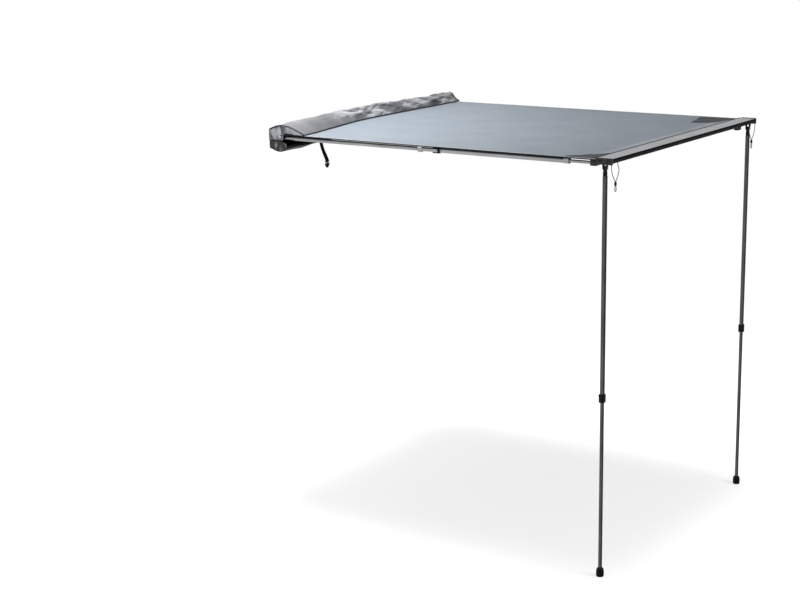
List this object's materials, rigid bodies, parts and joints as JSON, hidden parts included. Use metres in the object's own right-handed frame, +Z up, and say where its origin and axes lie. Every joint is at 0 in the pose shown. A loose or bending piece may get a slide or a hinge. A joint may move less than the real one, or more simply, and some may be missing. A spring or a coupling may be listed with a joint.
{
  "type": "vehicle side awning",
  "caption": "Pull-out side awning: back rail with rack brackets and open cover bag, telescopic arms, lead rail on folding telescopic legs, and a taut canopy between the rails.",
  "frame": {"origin": "On the flat back face of the back rail, halfway along it and 52 mm above its bottom edge.", "axes": "+Y points out of that face, in to the vehicle. The awning opens towards -Y. +Z is up. +X runs along the vehicle, to the right of a person who stands on the open side and faces it."},
  "size_m": [1.528, 1.8609, 1.888],
  "materials": {
    "alloy": "satin anodised",
    "dark_alloy": "dark satin anodised",
    "steel": "satin black powder coat",
    "zinc": "zinc plated",
    "plastic": "matte moulded",
    "rubber": "matte",
    "canvas": "coated polyester weave",
    "vinyl": "coated cloth with a soft shine",
    "webbing": "flat woven",
    "cord": "braided"
  },
  "bodies": {
    "back_rail_body": {"back_rail": "alloy", "left_back_cap": "plastic", "right_back_cap": "plastic", "left_rack_bracket": "steel", "right_rack_bracket": "steel", "left_bracket_bolt": "zinc", "right_bracket_bolt": "zinc", "left_bracket_nut": "zinc", "right_bracket_nut": "zinc", "left_arm_bracket": "steel", "right_arm_bracket": "steel", "left_arm_pin": "zinc", "right_arm_pin": "zinc", "cover_tray": "vinyl", "cover_flap": "vinyl", "cover_strap": "webbing", "strap_buckle": "plastic", "back_keder": "rubber", "canopy": "canvas"},
    "lead_rail_body": {"lead_rail": "alloy", "left_rail_cap": "plastic", "right_rail_cap": "plastic", "left_leg_pin": "zinc", "right_leg_pin": "zinc", "left_leg_bracket": "steel", "right_leg_bracket": "steel", "front_keder": "rubber", "left_guy_cord": "cord", "right_guy_cord": "cord", "left_cord_toggle": "plastic", "right_cord_toggle": "plastic"},
    "left_arm_inner": {"left_arm_knuckle": "plastic", "left_arm_inner_tube": "alloy", "left_arm_glide": "plastic"},
    "left_arm_outer": {"left_arm_outer_tube": "alloy", "left_arm_clamp": "plastic", "left_arm_tip": "alloy"},
    "left_arm_lever": {"left_arm_lever": "alloy"},
    "left_leg_upper": {"left_leg_knuckle": "plastic", "left_leg_upper_tube": "dark_alloy", "left_leg_clamp": "plastic"},
    "left_leg_lever": {"left_leg_lever": "plastic"},
    "left_leg_lower": {"left_leg_lower_tube": "dark_alloy", "left_leg_glide": "plastic", "left_foot": "rubber"},
    "right_arm_inner": {"right_arm_knuckle": "plastic", "right_arm_inner_tube": "alloy", "right_arm_glide": "plastic"},
    "right_arm_outer": {"right_arm_outer_tube": "alloy", "right_arm_clamp": "plastic", "right_arm_tip": "alloy"},
    "right_arm_lever": {"right_arm_lever": "alloy"},
    "right_leg_upper": {"right_leg_knuckle": "plastic", "right_leg_upper_tube": "dark_alloy", "right_leg_clamp": "plastic"},
    "right_leg_lever": {"right_leg_lever": "plastic"},
    "right_leg_lower": {"right_leg_lower_tube": "dark_alloy", "right_leg_glide": "plastic", "right_foot": "rubber"}
  },
  "joints": [
    {"name": "rail_slide", "type": "slide", "parent": "back_rail_body", "child": "lead_rail_body", "axis": [0, 1, 0], "range_m": [0, 0.5], "deforming": ["canopy"]},
    {"name": "left_arm_swing", "type": "hinge", "parent": "back_rail_body", "child": "left_arm_inner", "pos_m": [-0.733, -0.044, -0.005], "axis": [0, 0, 1], "range_deg": [0, 90]},
    {"name": "left_arm_extend", "type": "slide", "parent": "left_arm_inner", "child": "left_arm_outer", "axis": [0, 1, 0], "range_m": [0, 0.5]},
    {"name": "left_arm_lever_open", "type": "hinge", "parent": "left_arm_outer", "child": "left_arm_lever", "pos_m": [-0.7527, -0.9391, -0.005], "axis": [0, 0, 1], "range_deg": [0, 110]},
    {"name": "left_leg_fold", "type": "hinge", "parent": "lead_rail_body", "child": "left_leg_upper", "pos_m": [-0.71, -1.736, -0.026], "axis": [0, -1, 0], "range_deg": [0, 90]},
    {"name": "left_leg_extend", "type": "slide", "parent": "left_leg_upper", "child": "left_leg_lower", "axis": [0, 0, 1], "range_m": [-0.08, 0.72]},
    {"name": "left_leg_lever_open", "type": "hinge", "parent": "left_leg_upper", "child": "left_leg_lever", "pos_m": [-0.7257, -1.736, -1.002], "axis": [0, 1, 0], "range_deg": [0, 100]},
    {"name": "right_arm_swing", "type": "hinge", "parent": "back_rail_body", "child": "right_arm_inner", "pos_m": [0.733, -0.044, -0.03], "axis": [0, 0, -1], "range_deg": [0, 90]},
    {"name": "right_arm_extend", "type": "slide", "parent": "right_arm_inner", "child": "right_arm_outer", "axis": [0, 1, 0], "range_m": [0, 0.5]},
    {"name": "right_arm_lever_open", "type": "hinge", "parent": "right_arm_outer", "child": "right_arm_lever", "pos_m": [0.7527, -0.9391, -0.03], "axis": [0, 0, -1], "range_deg": [0, 110]},
    {"name": "right_leg_fold", "type": "hinge", "parent": "lead_rail_body", "child": "right_leg_upper", "pos_m": [0.71, -1.764, -0.026], "axis": [0, 1, 0], "range_deg": [0, 90]},
    {"name": "right_leg_extend", "type": "slide", "parent": "right_leg_upper", "child": "right_leg_lower", "axis": [0, 0, 1], "range_m": [-0.08, 0.72]},
    {"name": "right_leg_lever_open", "type": "hinge", "parent": "right_leg_upper", "child": "right_leg_lever", "pos_m": [0.7257, -1.764, -1.002], "axis": [0, -1, 0], "range_deg": [0, 100]}
  ],
  "couplings": [
    {"joint": "left_arm_extend", "follows": "rail_slide", "ratio": 1},
    {"joint": "right_arm_extend", "follows": "rail_slide", "ratio": 1}
  ]
}
